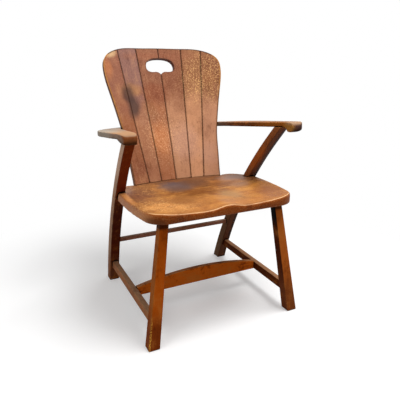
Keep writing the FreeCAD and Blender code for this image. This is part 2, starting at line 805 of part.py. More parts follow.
def arm_plan():
    body = new_body("arm_plan")
    plan = new_sketch(body, "arm_plan_outline")
    loop(plan, arm_plan_curves())
    pad(body, "arm_plan_height", plan, "200", centred=True)
    middle = (size("arm_front_inner") + size("arm_front_outer")) / 2
    rounds = (("outer", 1, "sizes.arm_front_round"), ("inner", -1, "sizes.arm_front_round / 8"))
    for name, side, radius in rounds:
        round_edges(
            body, "arm_%s_corner" % name, radius,
            lambda edge: edge.Length > 150 and edge.BoundBox.YMax < size("arm_front") + 20
            and edge.BoundBox.YLength < 1 and side * (edge.BoundBox.XMin - middle) > 0,
        )
    body.Placement = ARM_FRAME
    return body


def arm_side():
    """The side view of the arm: a flat board with a roll turned down at the front."""
    body = new_body("arm_side")
    side = new_sketch(body, "arm_side_outline", "YZ_Plane")
    thick, roll, front = size("arm_thickness"), size("arm_roll_height") / 2, size("arm_front")
    middle = Vector(front + roll, thick - roll, 0)
    rear = size("back_foot") + 250
    turned = math.radians(48)
    leave = Vector(middle.x + roll * math.sin(turned), middle.y - roll * math.cos(turned), 0)
    settle = Vector(leave.x + roll * 0.75, 0, 0)
    throat = Vector(leave.x + roll * 0.22, leave.y * 0.32, 0)
    loop(side, [
        Part.LineSegment(Vector(rear, thick, 0), Vector(middle.x, thick, 0)),
        Part.Arc(Vector(middle.x, thick, 0), middle - Vector(roll, 0, 0), leave),
        Part.Arc(leave, throat, settle),
        Part.LineSegment(settle, Vector(rear, 0, 0)),
        Part.LineSegment(Vector(rear, 0, 0), Vector(rear, thick, 0)),
    ])
    pad(body, "arm_side_width", side, "800", centred=True)
    body.Placement = ARM_FRAME
    return body


def arm_roll_end():
    """What is rounded away under the outer end of the roll."""
    body = new_body("arm_roll_end")
    forward = Placement(Vector(0, 0, -size("arm_front")), Rotation())
    outline = new_sketch(body, "arm_roll_end_outline", "XZ_Plane", forward)
    far, round_off = size("arm_front_outer"), size("arm_roll_end")
    low = size("arm_thickness") - size("arm_roll_height")
    high = low + round_off
    loop(outline, [
        line((far + 40, high), (far, high)),
        retraced(arc((far - round_off, low), (far, high), round_off)),
        line((far - round_off, low), (far - round_off, low - 30)),
        line((far - round_off, low - 30), (far + 40, low - 30)),
        line((far + 40, low - 30), (far + 40, high)),
    ])
    pad(body, "arm_roll_end_depth", outline, "160", centred=True)
    body.Placement = ARM_FRAME
    return body


def bow_blank():
    body = new_body("bow_blank")
    plan = new_sketch(body, "bow_plan")
    half = size("bow_lap_outer")
    outside, inside = bow_radius(size("bow_depth")), bow_radius(-size("stave_thickness") / 2)
    rear, face = bow_point(half, outside), bow_point(half, inside)
    loop(plan, [
        arc(rear, (-rear[0], rear[1]), outside),
        line((-rear[0], rear[1]), (-face[0], face[1])),
        arc((-face[0], face[1]), face, -inside),
        line(face, rear),
    ])
    pad(body, "bow_board", plan, "sizes.arm_thickness")
    body.Placement = ARM_FRAME
    return body


def lap_half(name, start, finish, floor):
    """Half the thickness of the lap, from one half width to another."""
    body = new_body(name)
    middle, wide = "(%s + %s) / 2" % (start, finish), "(%s) - (%s)" % (finish, start)
    plan = rectangle(body, name + "_plan", middle, "sizes.back_foot", wide, "600")
    plan.setExpression("AttachmentOffset.Base.z", floor)
    pad(body, name + "_height", plan, "sizes.arm_thickness / 2 + 1")
    body.Placement = ARM_FRAME
    return body


# Screws lie in counterbored holes under wooden plugs


def screw_set(name, host, face, direction, length, sink):
    """A screw from a point of a face, its hole, and its plug, flush with the face of its host."""
    radius, head, plug = size("screw_radius"), size("screw_head"), size("plug_radius")
    seat_of_head = face + direction * sink
    shank = cylinder(name + "_shank", seat_of_head, direction, radius, length)
    cap = cylinder(name + "_head", seat_of_head - direction * HEAD_LENGTH, direction, head, HEAD_LENGTH)
    screw = fuse(name, [shank, cap])
    bore = cylinder(name + "_bore", face - direction * 30, direction, plug, 30 + sink)
    pilot = cylinder(name + "_pilot", face, direction, radius, sink + length + 0.5)
    hole = fuse(name + "_hole", [bore, pilot])
    start = seat_of_head - direction * (HEAD_LENGTH + 0.2)
    peg = cylinder(name + "_peg", start - direction * (size("plug_length") + 20), direction, plug,
                   size("plug_length") + 20)
    return screw, hole, common(name + "_plug", peg, host)


# Build the blanks

leg = front_leg()
under_arms = post_room()
post_trimmed = common("post_trimmed", rear_post(), under_arms)
arm_foot = arm_tenon_place()
post_tenon = cylinder("post_tenon", arm_foot - ARM_UP * 3, ARM_UP, size("post_tenon_radius"),
                      size("post_tenon_length") + 3)
post_solid = fuse("post_solid", [post_trimmed, post_tenon])

grip = hand_hold()
shell = back_shell()
sawn_back = common("sawn_back", shell, back_outline())
wedges = [
    stave_wedge("inner_stave_wedge", lambda along: 0, lambda along: joint_half("inner", along)),
    stave_wedge("middle_stave_wedge", lambda along: joint_half("inner", along),
                lambda along: joint_half("outer", along)),
    stave_wedge("outer_stave_wedge", lambda along: joint_half("outer", along),
                lambda along: size("back_wide_half") + 10),
]
staves = [common("sawn_stave_%d" % k, sawn_back, wedge) for k, wedge in enumerate(wedges)]
staves[0] = cut("gripped_stave", staves[0], [grip])

# Stretchers, each shouldered against what it enters, with a tenon beyond

side_start = leg_middle(size("stretcher_height"))
side_finish = post_middle(size("stretcher_height"))
side_bar = bar("side_bar", side_start, side_finish, "sizes.stretcher_width", "sizes.stretcher_depth",
               "sizes.stretcher_round")
side_tenon = bar("side_tenon", side_start, side_finish, "sizes.tenon_width", "sizes.tenon_depth")
side_mortise = bar("side_mortise", side_start, side_finish, "sizes.tenon_width + 2 * sizes.fit",
                   "sizes.tenon_depth + 2 * sizes.fit", beyond=size("end_gap"))
side_solid = fuse("side_solid", [cut("side_shouldered", side_bar, [leg, post_trimmed]), side_tenon])


def side_middle(back):
    """Middle line of the right side stretcher at a place front to back."""
    part = (back - side_start.y) / (side_finish.y - side_start.y)
    return side_start + (side_finish - side_start) * part


def cross_blank():
    """The centre stretcher: a straight lower edge and a long arch above."""
    body = new_body("cross_blank")
    cross_plane = Placement(Vector(0, 0, -size("cross_back")), Rotation())
    face = new_sketch(body, "cross_face", "XZ_Plane", cross_plane)
    half = side_middle(size("cross_back")).x
    floor, ends, rise = size("cross_floor"), size("cross_end_depth"), size("cross_middle_depth")
    low, high = (-half, floor), (half, floor + ends)
    sagitta = rise - ends
    radius = (half * half + sagitta * sagitta) / (2 * sagitta)
    loop(face, [
        line(low, (half, floor)),
        line((half, floor), high),
        arc(high, (-half, floor + ends), radius),
        line((-half, floor + ends), low),
    ])
    pad(body, "cross_board", face, "sizes.cross_thickness", centred=True)
    round_edges(body, "cross_arrises", "0.8 * sizes.stretcher_round", lambda edge: edge.Length > half)
    return body


side_room = bar("side_room", side_start, side_finish, "sizes.stretcher_width", "4 * sizes.stretcher_depth")
side_room_left = mirror("side_room_left", side_room)
cross_middle = side_middle(size("cross_back"))
cross_level = Vector(0, 0, size("cross_floor") + size("cross_end_depth") / 2 - cross_middle.z)
cross_finish = cross_middle + cross_level
cross_start = Vector(-cross_finish.x, cross_finish.y, cross_finish.z)
cross_tenon = bar("cross_tenon", cross_start, cross_finish, "sizes.tenon_width - 1", "sizes.tenon_depth - 3")
cross_mortise = bar("cross_mortise", cross_start, cross_finish, "sizes.tenon_width - 1 + 2 * sizes.fit",
                    "sizes.tenon_depth - 3 + 2 * sizes.fit", beyond=size("end_gap"))
center_stretcher = fuse("center_stretcher", [
    cut("cross_shouldered", cross_blank(), [side_room, side_room_left]), cross_tenon,
])

rear_finish = post_middle(size("rear_height"))
rear_start = Vector(-rear_finish.x, rear_finish.y, rear_finish.z)
rear_bar = bar(
    "rear_bar", rear_start, rear_finish, "sizes.rear_width", "sizes.rear_depth", "sizes.stretcher_round",
)
rear_tenon = bar("rear_tenon", rear_start, rear_finish, "sizes.tenon_width - 1", "sizes.tenon_width - 1")
rear_mortise = bar("rear_mortise", rear_start, rear_finish, "sizes.tenon_width - 1 + 2 * sizes.fit",
                   "sizes.tenon_width - 1 + 2 * sizes.fit", beyond=size("end_gap"))
post_left_blank = mirror("post_left_blank", post_trimmed)
rear_stretcher = fuse("rear_stretcher", [
    cut("rear_shouldered", rear_bar, [post_trimmed, post_left_blank]), rear_tenon,
])

# Arms and rail meet in half-laps behind the staves

arm_blank = common("arm_blank", arm_plan(), arm_side())
arm_lap = lap_half("arm_lap", "sizes.bow_lap_inner - 5", "sizes.bow_lap_outer", "-1")
bow_lap = lap_half("bow_lap", "sizes.bow_lap_inner", "sizes.bow_lap_outer + 5", "sizes.arm_thickness / 2")
bow_lap_left = mirror("bow_lap_left", bow_lap)
arm_mortise = cylinder("arm_mortise", arm_foot - ARM_UP * 5, ARM_UP, size("post_tenon_radius") + size("fit"),
                       size("post_tenon_length") + size("end_gap") + 5)
staves_left = [mirror("stave_left_blank_%d" % k, stave) for k, stave in enumerate(staves)]
arm_shaped = cut("arm_shaped", arm_blank, [arm_lap, arm_roll_end(), staves[1], staves[2]])
bow_shaped = cut("bow_shaped", bow_blank(), [bow_lap, bow_lap_left] + staves + staves_left)

# Screws through the rail into the staves, through the staves into the seat, and through the posts


def stave_turns():
    """Turn of the middle of each stave round the back's curve, by its height up the back."""
    def turns(along):
        rim = size("back_foot_half") + along * 0.09
        edges = [0, joint_half("inner", along), joint_half("outer", along), rim]
        return [math.asin((a + b) / 2 / size("back_radius")) for a, b in zip(edges, edges[1:])]
    return turns


rail_screws, rail_holes, rail_plugs = [], [], []
rail_radius = bow_radius(size("bow_depth"))
rail_along = (size("arm_height") - size("seat_underside")) / math.cos(math.radians(size("back_lean")))
for k, turn in enumerate(stave_turns()(rail_along)):
    inward = Vector(-math.sin(turn), -math.cos(turn), 0)
    depth = bow_middle() + rail_radius * math.cos(turn)
    flat = Vector(rail_radius * math.sin(turn), depth, size("arm_thickness") / 2)
    place = ARM_FRAME.multVec(flat)
    sink = size("plug_length") + HEAD_LENGTH + 1
    length = size("bow_depth") - sink + size("stave_thickness") * 0.7
    host = arm_shaped if k == 2 else bow_shaped
    screw, hole, plug = screw_set("rail_screw_%d" % k, host, place, inward, length, sink)
    rail_screws.append(screw)
    rail_holes.append(hole)
    rail_plugs.append(plug)

seat_screws, seat_holes, seat_plugs = [], [], []
for k, turn in enumerate(stave_turns()(0)):
    inward = Vector(-math.sin(turn), -math.cos(turn), 0)
    radius = size("back_radius") * math.cos(math.radians(size("back_lean")))
    level = size("seat_thickness") * 0.33
    face = radius + size("stave_thickness") / math.cos(math.radians(size("back_lean")))
    middle = size("back_foot") + level * tangent("back_lean") - radius
    place = Vector(face * math.sin(turn), middle + face * math.cos(turn), size("seat_underside") + level)
    sink = size("plug_length") + HEAD_LENGTH
    screw, hole, plug = screw_set("seat_screw_%d" % k, staves[k], place, inward, 38, sink)
    seat_screws.append(screw)
    seat_holes.append(hole)
    seat_plugs.append(plug)

post_screws, post_holes, post_plugs = [], [], []
for k, offset in enumerate((-9, 9)):
    height = size("seat_underside") + size("seat_thickness") * 0.4
    middle = post_middle(height)
    place = middle + Vector(post_half_width(height) / math.cos(math.radians(size("post_lean"))), offset, 0)
    screw, hole, plug = screw_set("post_screw_%d" % k, post_trimmed, place, Vector(-1, 0, 0), 62, 11)
    post_screws.append(screw)
    post_holes.append(hole)
    post_plugs.append(plug)

# Finished pieces

post_mortises = [side_mortise, rear_mortise] + post_holes
front_legs = both_sides("front_leg", cut("front_leg_cut", leg, [side_mortise]))
rear_posts = both_sides("rear_post", cut("rear_post_cut", post_solid, post_mortises))
arms = both_sides("arm", cut("arm_cut", arm_shaped, [arm_mortise, rail_holes[1], rail_holes[2]]))
side_stretchers = both_sides("side_stretcher", cut("side_stretcher_cut", side_solid, [cross_mortise]))

rail_tools = rail_holes + [mirror("rail_hole_left_%d" % k, hole) for k, hole in enumerate(rail_holes)]
back_rail = cut("back_rail", bow_shaped, rail_tools)

leg_mortise = cylinder(
    "leg_mortise", leg_middle(size("seat_underside")) - LEG_WAY * 20, LEG_WAY,
    size("leg_tenon_radius") + size("fit"), size("leg_tenon_length") + size("end_gap") + 20,
)
seat_right_tools = [leg_mortise, post_trimmed] + seat_holes + post_holes
seat_left_tools = [mirror("seat_tool_left_%d" % k, tool) for k, tool in enumerate(seat_right_tools)]
seat_tools = seat_right_tools + seat_left_tools
back_room = doc.addObject("Part::Box", "room_for_the_back")
back_room.Length = 2 * (size("back_foot_half") + 0.8)
back_room.Width = 400
back_room.Height = 200
back_room.Placement.Base = Vector(-size("back_foot_half") - 0.8, 0, size("seat_underside") - 100)
seat_tools.append(common("shell_at_the_seat", shell, back_room))
seat_solid = cut("seat_solid", seat_blank(), seat_tools)

count = int(size("seat_boards"))
seat_pieces = []
for k in range(count):
    board = new_body("seat_slab_%d" % (k + 1))
    wide = "(sizes.back_foot + 40 - sizes.seat_front) / sizes.seat_boards"
    plan = rectangle(
        board, "seat_slab_plan_%d" % (k + 1),
        "0", "sizes.seat_front + (%d + 0.5) * %s" % (k, wide), "700", wide,
    )
    plan.setExpression("AttachmentOffset.Base.z", "sizes.seat_underside - 10")
    pad(board, "seat_slab_height_%d" % (k + 1), plan, "sizes.seat_thickness + 20")
    piece = common("seat_board_%d" % (k + 1), seat_solid, board)
    seat_pieces.append(piece)

stave_pieces = []
for k, stave in enumerate(staves):
    right = cut("stave_cut_%d" % k, stave, [rail_holes[k], seat_holes[k]])
    right.Label = "back_stave_%d" % (4 + k)
    stave_pieces.append(right)
    stave_pieces.append(mirror("back_stave_%d" % (3 - k), right))


def paired(name, shapes):
    """The shapes of both sides as one group of separate solids."""
    return group(name, shapes + [mirror("%s_left_%d" % (name, k), shape) for k, shape in enumerate(shapes)])


fastenings = [
    paired("rail_screws", rail_screws),
    paired("rail_plugs", rail_plugs),
    paired("seat_edge_screws", seat_screws),
    paired("seat_edge_plugs", seat_plugs),
    paired("post_screws", post_screws),
    paired("post_plugs", post_plugs),
]

nodes = (
    list(front_legs) + list(rear_posts) + list(arms) + list(side_stretchers)
    + [center_stretcher, rear_stretcher, back_rail] + seat_pieces + stave_pieces + fastenings
)
doc.recompute()

# Check every object before anything is written

for thing in doc.Objects:
    if "Invalid" in thing.State or "Error" in thing.State:
        raise RuntimeError("%s could not be built: %s" % (thing.Label, thing.State))
for node in nodes:
    if node.Shape.isNull() or not node.Shape.isValid() or not node.Shape.Solids:
        raise RuntimeError("%s has no valid shape" % node.Label)

# Stand the chair with its origin under the middle of its bounding box

box = FreeCAD.BoundBox()
for node in nodes:
    box.add(node.Shape.optimalBoundingBox(False, False))
shift = Vector(-box.Center.x, -box.Center.y, -box.ZMin)

os.makedirs("parts", exist_ok=True)
for node in nodes:
    shape = node.Shape.copy()
    shape.translate(shift)
    shape.exportStep("parts/%s.step" % node.Label)
    print("%-22s %2d solids  %9.0f mm3" % (node.Label, len(shape.Solids), shape.Volume))
print("shift", shift, "size", box.XLength, box.YLength, box.ZLength)
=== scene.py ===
import math

import bmesh
import bpy
from mathutils import Matrix, Vector


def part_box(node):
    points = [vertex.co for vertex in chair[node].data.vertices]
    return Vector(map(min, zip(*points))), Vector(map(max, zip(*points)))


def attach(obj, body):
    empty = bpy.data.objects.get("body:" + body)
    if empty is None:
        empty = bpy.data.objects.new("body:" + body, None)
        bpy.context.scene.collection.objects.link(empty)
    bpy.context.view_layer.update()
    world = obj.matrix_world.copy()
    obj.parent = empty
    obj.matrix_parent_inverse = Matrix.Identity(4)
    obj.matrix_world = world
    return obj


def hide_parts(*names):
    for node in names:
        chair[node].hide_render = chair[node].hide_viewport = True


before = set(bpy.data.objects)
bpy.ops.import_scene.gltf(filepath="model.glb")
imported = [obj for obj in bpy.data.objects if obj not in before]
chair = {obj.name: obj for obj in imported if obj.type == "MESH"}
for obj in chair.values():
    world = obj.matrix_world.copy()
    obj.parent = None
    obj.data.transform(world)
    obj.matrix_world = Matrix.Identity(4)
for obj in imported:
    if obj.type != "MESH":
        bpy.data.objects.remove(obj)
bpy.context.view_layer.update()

# Directions; left and right are those of a viewer in front of the chair
LEFT, RIGHT = (-1, 0, 0), (1, 0, 0)
FRONT, REAR = (0, -1, 0), (0, 1, 0)
UP, DOWN = (0, 0, 1), (0, 0, -1)


# Shader building


class Value:
    """A number that changes over a surface; sums and products of values add Math nodes."""

    def __init__(self, finish, socket):
        self.finish = finish
        self.socket = socket

    def _math(self, operation, first, second):
        return self.finish.node("ShaderNodeMath", {"operation": operation}, {0: first, 1: second})

    def __add__(self, other):
        return self._math("ADD", self, other)

    def __radd__(self, other):
        return self._math("ADD", other, self)

    def __sub__(self, other):
        return self._math("SUBTRACT", self, other)

    def __rsub__(self, other):
        return self._math("SUBTRACT", other, self)

    def __mul__(self, other):
        return self._math("MULTIPLY", self, other)

    def __rmul__(self, other):
        return self._math("MULTIPLY", other, self)


class Finish:
    """One procedural material, or the finish of the world behind everything."""

    def __init__(self, name, world=None):
        self.material = world or bpy.data.materials.new(name)
        self.material.use_nodes = True
        self.tree = self.material.node_tree
        self.tree.nodes.clear()
        if world is None:
            self.place = self.node("ShaderNodeTexCoord", {}, {}, "Object")

    def node(self, kind, settings, sockets, output=0):
        """Add a node of any kind: first its settings, then the values or links of its sockets."""
        made = self.tree.nodes.new(kind)
        for name, value in settings.items():
            setattr(made, name, value)
        for name, value in sockets.items():
            if isinstance(value, Value):
                self.tree.links.new(value.socket, made.inputs[name])
            else:
                made.inputs[name].default_value = value
        return Value(self, made.outputs[output]) if made.outputs else None

    def vector(self, operation, first, second, output="Vector"):
        """Vector maths on two places or directions."""
        return self.node("ShaderNodeVectorMath", {"operation": operation}, {0: first, 1: second}, output)

    def stretch(self, place, scales):
        """Coordinates with a scale of their own along each axis."""
        return self.vector("MULTIPLY", place, scales)

    def length(self, place):
        """How far a place lies from the origin."""
        return self.node("ShaderNodeVectorMath", {"operation": "LENGTH"}, {0: place}, "Value")

    def mix(self, share, first, second, blend="MIX"):
        """Blend two colours; the Mix node takes them at sockets 6 and 7 and gives the result at output 2."""
        settings = {"data_type": "RGBA", "blend_type": blend, "clamp_factor": True}
        return self.node("ShaderNodeMix", settings, {0: share, 6: first, 7: second}, 2)

    def between(self, value, low, high):
        """0 below low and 1 above high, with a soft step between; low may be the larger."""
        settings = {"interpolation_type": "SMOOTHSTEP"}
        return self.node("ShaderNodeMapRange", settings, {"Value": value, "From Min": low, "From Max": high})

    def noise(self, place, scale, detail=2.0, roughness=0.5, distortion=0.0):
        """A smooth random value of about 0.5, with scale bumps in each metre."""
        sockets = {
            "Vector": place,
            "Scale": scale,
            "Detail": detail,
            "Roughness": roughness,
            "Distortion": distortion,
        }
        return self.node("ShaderNodeTexNoise", {"noise_dimensions": "3D"}, sockets)

    def uneven(self, value, noise, reach):
        """A value shifted by a noise, so that an edge drawn with it wanders."""
        return value + (noise - 0.5) * reach

    def flecks(self, scale, roughness, low, high):
        """1 in small scattered flecks and 0 round them."""
        return self.between(self.noise(self.place, scale, 2.0, roughness), low, high)

    def along(self, way):
        """How far a place lies along a direction."""
        return self.vector("DOT_PRODUCT", self.place, way, "Value")

    def facing(self, way):
        """How squarely the surface faces a direction of the chair: 1 full on, 0 edge on."""
        normal = self.node("ShaderNodeNewGeometry", {}, {}, "Normal")
        return self.vector("DOT_PRODUCT", normal, way, "Value")

    def faces(self, way, low=0.4, high=0.8):
        """1 where the surface faces a direction and 0 where it does not."""
        return self.between(self.facing(way), low, high)

    def seen(self):
        """1 for what is seen, straight, mirrored or through something, and 0 for what lights the chair."""
        kinds = ("Is Camera Ray", "Is Glossy Ray", "Is Transmission Ray")
        straight, mirrored, passed = [self.node("ShaderNodeLightPath", {}, {}, kind) for kind in kinds]
        return self.between(straight + mirrored + passed, 0.4, 0.6)

    def spot(self, centre, radii, ragged=0.35):
        """1 inside a soft, ragged patch round a point and 0 outside it."""
        apart = self.vector("SUBTRACT", self.place, centre)
        apart = self.stretch(apart, [1 / radius for radius in radii])
        rough = self.noise(self.place, 28.0, 3.0)
        outside, inside = 1.1, 0.35
        away = self.uneven(self.length(apart), rough, 2 * ragged)
        return self.between(away, outside, inside)

    def stains(self, paint, rows, ragged=0.35):
        """Lay soft patches over a colour; each row gives a colour, a place, a reach and a strength."""
        for shade, centre, radii, strength in rows:
            paint = self.mix(self.spot(centre, radii, ragged) * strength, paint, colour(*shade))
        return paint

    def surface(self, sockets):
        """The finished surface: one Principled shader."""
        shader = self.node("ShaderNodeBsdfPrincipled", {}, sockets)
        self.node("ShaderNodeOutputMaterial", {}, {"Surface": shader})
        return self.material


def colour(red, green, blue):
    """A colour given in the 0 to 255 scale of a paint chart."""
    def linear(value):
        value = value / 255
        return value / 12.92 if value <= 0.04045 else ((value + 0.055) / 1.055) ** 2.4
    return (linear(red), linear(green), linear(blue), 1.0)


# Wood

rubbed_wood = colour(206, 150, 84)
corner_shade_and_dirt = colour(16, 7, 4)

# What the colour is multiplied by in dark grain and in pores
grain_shade = (0.38, 0.28, 0.24, 1)
pore_shade = (0.4, 0.3, 0.26, 1)

# How far an arris is rubbed and a corner is darkened with painted shade and dirt, in metres
arris_width = 0.006


def grain_place(finish, along, across, seed):
    """Coordinates whose first axis runs with the grain."""
    along = Vector(along).normalized()
    across = (Vector(across) - along * along.dot(Vector(across))).normalized()
    depth = along.cross(across)
    seed_step = 1.7
    parts = {}
    for axis, way in enumerate((along, across, depth)):
        parts[axis] = finish.along(tuple(way)) + seed * (axis + 1) * seed_step
    return finish.node("ShaderNodeCombineXYZ", {}, parts)


def wood(
    name, along, across, seed, paint_on, marks=None,
    rough=0.6, gloss=0.03, wear=0.5, deep=0.75, pale=0.5, mottle=1.0, streak=0.6,
):
    """Old oiled wood: paint_on gives its colours, and marks gives what lies over its grain.

    wear is how much its arrises are rubbed, deep and pale are how strong its dark and pale grain is,
    and mottle and streak are how cloudy and how streaky it is.
    """
    finish = Finish(name)
    grain = grain_place(finish, along, across, seed)

    # From broad clouds to fine specks; the stretched ones run with the grain
    broad = finish.noise(grain, 8.0, 3.0, 0.55)
    patches = finish.noise(grain, 30.0, 4.0, 0.65)
    streaks = finish.noise(finish.stretch(grain, (4.0, 70.0, 70.0)), 1.0, 3.0, 0.6, 0.6)
    fibres = finish.noise(finish.stretch(grain, (22.0, 420.0, 420.0)), 1.0, 2.0, 0.6)
    pits = finish.noise(finish.stretch(grain, (70.0, 1500.0, 1500.0)), 1.0, 1.0)
    speckle = finish.noise(grain, 260.0, 2.0, 0.7)
    finish.broad, finish.patches = broad, patches

    # Occlusion inside the wood is 1 away from its arrises; edge is 1 on them
    inside = {"inside": True, "only_local": True, "samples": 6}
    finish.edge = 1 - finish.node("ShaderNodeAmbientOcclusion", inside, {"Distance": arris_width}, "AO")

    # Dark grain, pale grain, pores, rubbed arrises, marks, and painted shade with dirt in the corners
    tone = 0.5 + (broad - 0.5) * (0.9 * mottle) + (patches - 0.5) * (1.1 * mottle)
    tone = tone + (streaks - 0.5) * streak + (fibres - 0.5) * 0.5 + (speckle - 0.5) * 0.5
    paint, light = paint_on(finish)
    paint = finish.mix(finish.between(tone, 0.5, 0.05) * deep, paint, grain_shade, "MULTIPLY")
    paint = finish.mix(finish.between(tone, 0.5, 0.95) * pale, paint, light)
    pore = finish.between(pits, 0.6, 0.75)
    paint = finish.mix(pore * 0.3, paint, pore_shade, "MULTIPLY")
    rubbed = finish.between(finish.uneven(finish.edge, patches, 0.7), 0.28, 0.6)
    paint = finish.mix(rubbed * wear, paint, rubbed_wood)
    if marks:
        paint = marks(finish, paint)
    # Painted shade with some dirt: near black where other surfaces close round the wood, in its corners and
    # between parts
    open_air = finish.node("ShaderNodeAmbientOcclusion", {"samples": 8}, {"Distance": arris_width}, "AO")
    paint = finish.mix(finish.between(open_air, 0.92, 0.62) * 0.96, paint, corner_shade_and_dirt)

    roughness = rough + (broad - 0.5) * 0.2 + (fibres - 0.5) * 0.12 + pore * 0.2
    height = streaks * 0.3 + fibres * 0.5 - pore * 0.6 + patches * 0.3
    relief = {"Strength": 0.35, "Distance": 0.0006, "Height": height}
    return finish.surface({
        "Base Color": paint,
        "Roughness": roughness,
        "Normal": finish.node("ShaderNodeBump", {}, relief, "Normal"),
        "Specular IOR Level": gloss,
    })


def paint_node(name, material):
    """Give a carried-over piece its finish."""
    slots = chair[name].data.materials
    if not slots:
        slots.append(material)
    for index in range(len(slots)):
        slots[index] = material


def worn_copy(nodes, name, face_size, passes):
    """A copy of glued-up boards with their arrises worn round: rebuilt in small even faces, then smoothed."""
    joints = [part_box(node)[1].y for node in nodes[:-1]]
    on_joint, welded, square_on = 0.00005, 0.00002, 0.99
    shape = bmesh.new()
    for node in nodes:
        shape.from_mesh(chair[node].data)
    glued = [
        face for face in shape.faces
        if abs(face.normal.y) > square_on
        and any(abs(face.calc_center_median().y - joint) < on_joint for joint in joints)
    ]
    bmesh.ops.delete(shape, geom=glued, context="FACES")
    bmesh.ops.remove_doubles(shape, verts=shape.verts, dist=welded)
    mesh = bpy.data.meshes.new(name)
    shape.to_mesh(mesh)
    shape.free()
    piece = bpy.data.objects.new(name, mesh)
    bpy.context.scene.collection.objects.link(piece)
    rebuild = piece.modifiers.new("even_faces", "REMESH")
    rebuild.mode = "VOXEL"
    rebuild.voxel_size = face_size
    rebuilt = bpy.data.meshes.new_from_object(piece.evaluated_get(bpy.context.evaluated_depsgraph_get()))
    piece.modifiers.clear()
    piece.data = rebuilt
    shape = bmesh.new()
    shape.from_mesh(rebuilt)
    rubbing = {"factor": 0.5, "use_axis_x": True, "use_axis_y": True, "use_axis_z": True}
    for _ in range(passes):
        bmesh.ops.smooth_vert(shape, verts=shape.verts, **rubbing)
    for face in shape.faces:
        face.smooth = True
    shape.to_mesh(rebuilt)
    shape.free()
    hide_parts(*nodes)
    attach(piece, "root")
    return piece


# Back

# How far the back leans, how far each stave turns from the next, and where the staves face
lean = math.radians(18.2)
fan = math.radians(3.6)
stave_front = (0, -math.cos(lean), math.sin(lean))
stave_middle = 3.5
stave_seed = 0.31

# Marks that run across the joints: their colour, place, reach and strength
back_marks = (
    ((176, 122, 72), (-0.132, 0.21, 0.765), (0.05, 0.05, 0.03), 0.6),
    ((134, 74, 50), (-0.035, 0.22, 0.755), (0.075, 0.06, 0.05), 0.75),
    ((196, 146, 124), (0.055, 0.16, 0.56), (0.075, 0.07, 0.1), 0.6),
    ((206, 128, 78), (-0.04, 0.17, 0.58), (0.05, 0.06, 0.09), 0.6),
    ((200, 150, 124), (0.15, 0.15, 0.5), (0.05, 0.06, 0.07), 0.5),
    ((128, 74, 54), (-0.15, 0.13, 0.47), (0.06, 0.06, 0.05), 0.6),
    ((150, 98, 66), (-0.07, 0.2, 0.69), (0.035, 0.05, 0.05), 0.5),
    ((150, 96, 62), (0.19, 0.21, 0.8), (0.03, 0.06, 0.05), 0.5),
    ((150, 92, 66), (0.0, 0.25, 0.89), (0.2, 0.06, 0.022), 0.6),
    ((216, 178, 132), (-0.207, 0.24, 0.9), (0.034, 0.08, 0.022), 0.8),
    ((196, 122, 72), (-0.222, 0.22, 0.84), (0.024, 0.06, 0.05), 0.5),
)
dark_stain = (
    ((80, 58, 52), (-0.151, 0.21, 0.75), (0.034, 0.05, 0.046), 0.85),
    ((80, 60, 54), (-0.135, 0.197, 0.703), (0.034, 0.05, 0.05), 0.85),
)


def stave_paint(top, low):
    """A stave that is darker and more mauve toward its top, brown behind and with painted shade on its sides.
    """
    def paint_on(finish):
        cloud = finish.noise(finish.place, 11.0, 3.0, 0.6)
        high = finish.between(finish.uneven(finish.along(UP), cloud, 0.3), 0.6, 0.8)
        paint = finish.mix(high, colour(*low), colour(*top))
        paint = finish.stains(paint, back_marks)

        fleck = finish.flecks(300.0, 0.8, 0.53, 0.62)
        rim_gold = finish.spot((0.19, 0.22, 0.81), (0.1, 0.1, 0.15), 0.3) * 0.75
        gold = rim_gold + finish.spot((0.11, 0.22, 0.8), (0.05, 0.1, 0.12), 0.4) * 0.5
        tan = finish.spot((-0.05, 0.17, 0.6), (0.1, 0.1, 0.15), 0.4) * 0.6
        pale = finish.spot((0.05, 0.17, 0.57), (0.1, 0.1, 0.12), 0.4) * 0.4
        paint = finish.mix(gold * fleck, paint, colour(248, 196, 122))
        paint = finish.mix((tan + pale) * fleck, paint, colour(246, 194, 146))
        paint = finish.mix(fleck * 0.2, paint, colour(236, 182, 140))
        dot = finish.between(finish.noise(finish.place, 210.0, 1.0, 0.5), 0.32, 0.26)
        paint = finish.mix(dot * 0.5, paint, colour(92, 48, 28))

        square = finish.facing(stave_front)
        # Painted shade: the stave's sides go dark where they turn from the front
        paint = finish.mix(finish.between(square, 0.7, 0.4), paint, colour(92, 36, 12))
        paint = finish.mix(finish.between(square, -0.4, -0.7), paint, colour(158, 104, 68))
        light = finish.mix(finish.between(square, 0.1, -0.5), colour(222, 166, 118), colour(206, 150, 104))
        return paint, light
    return paint_on


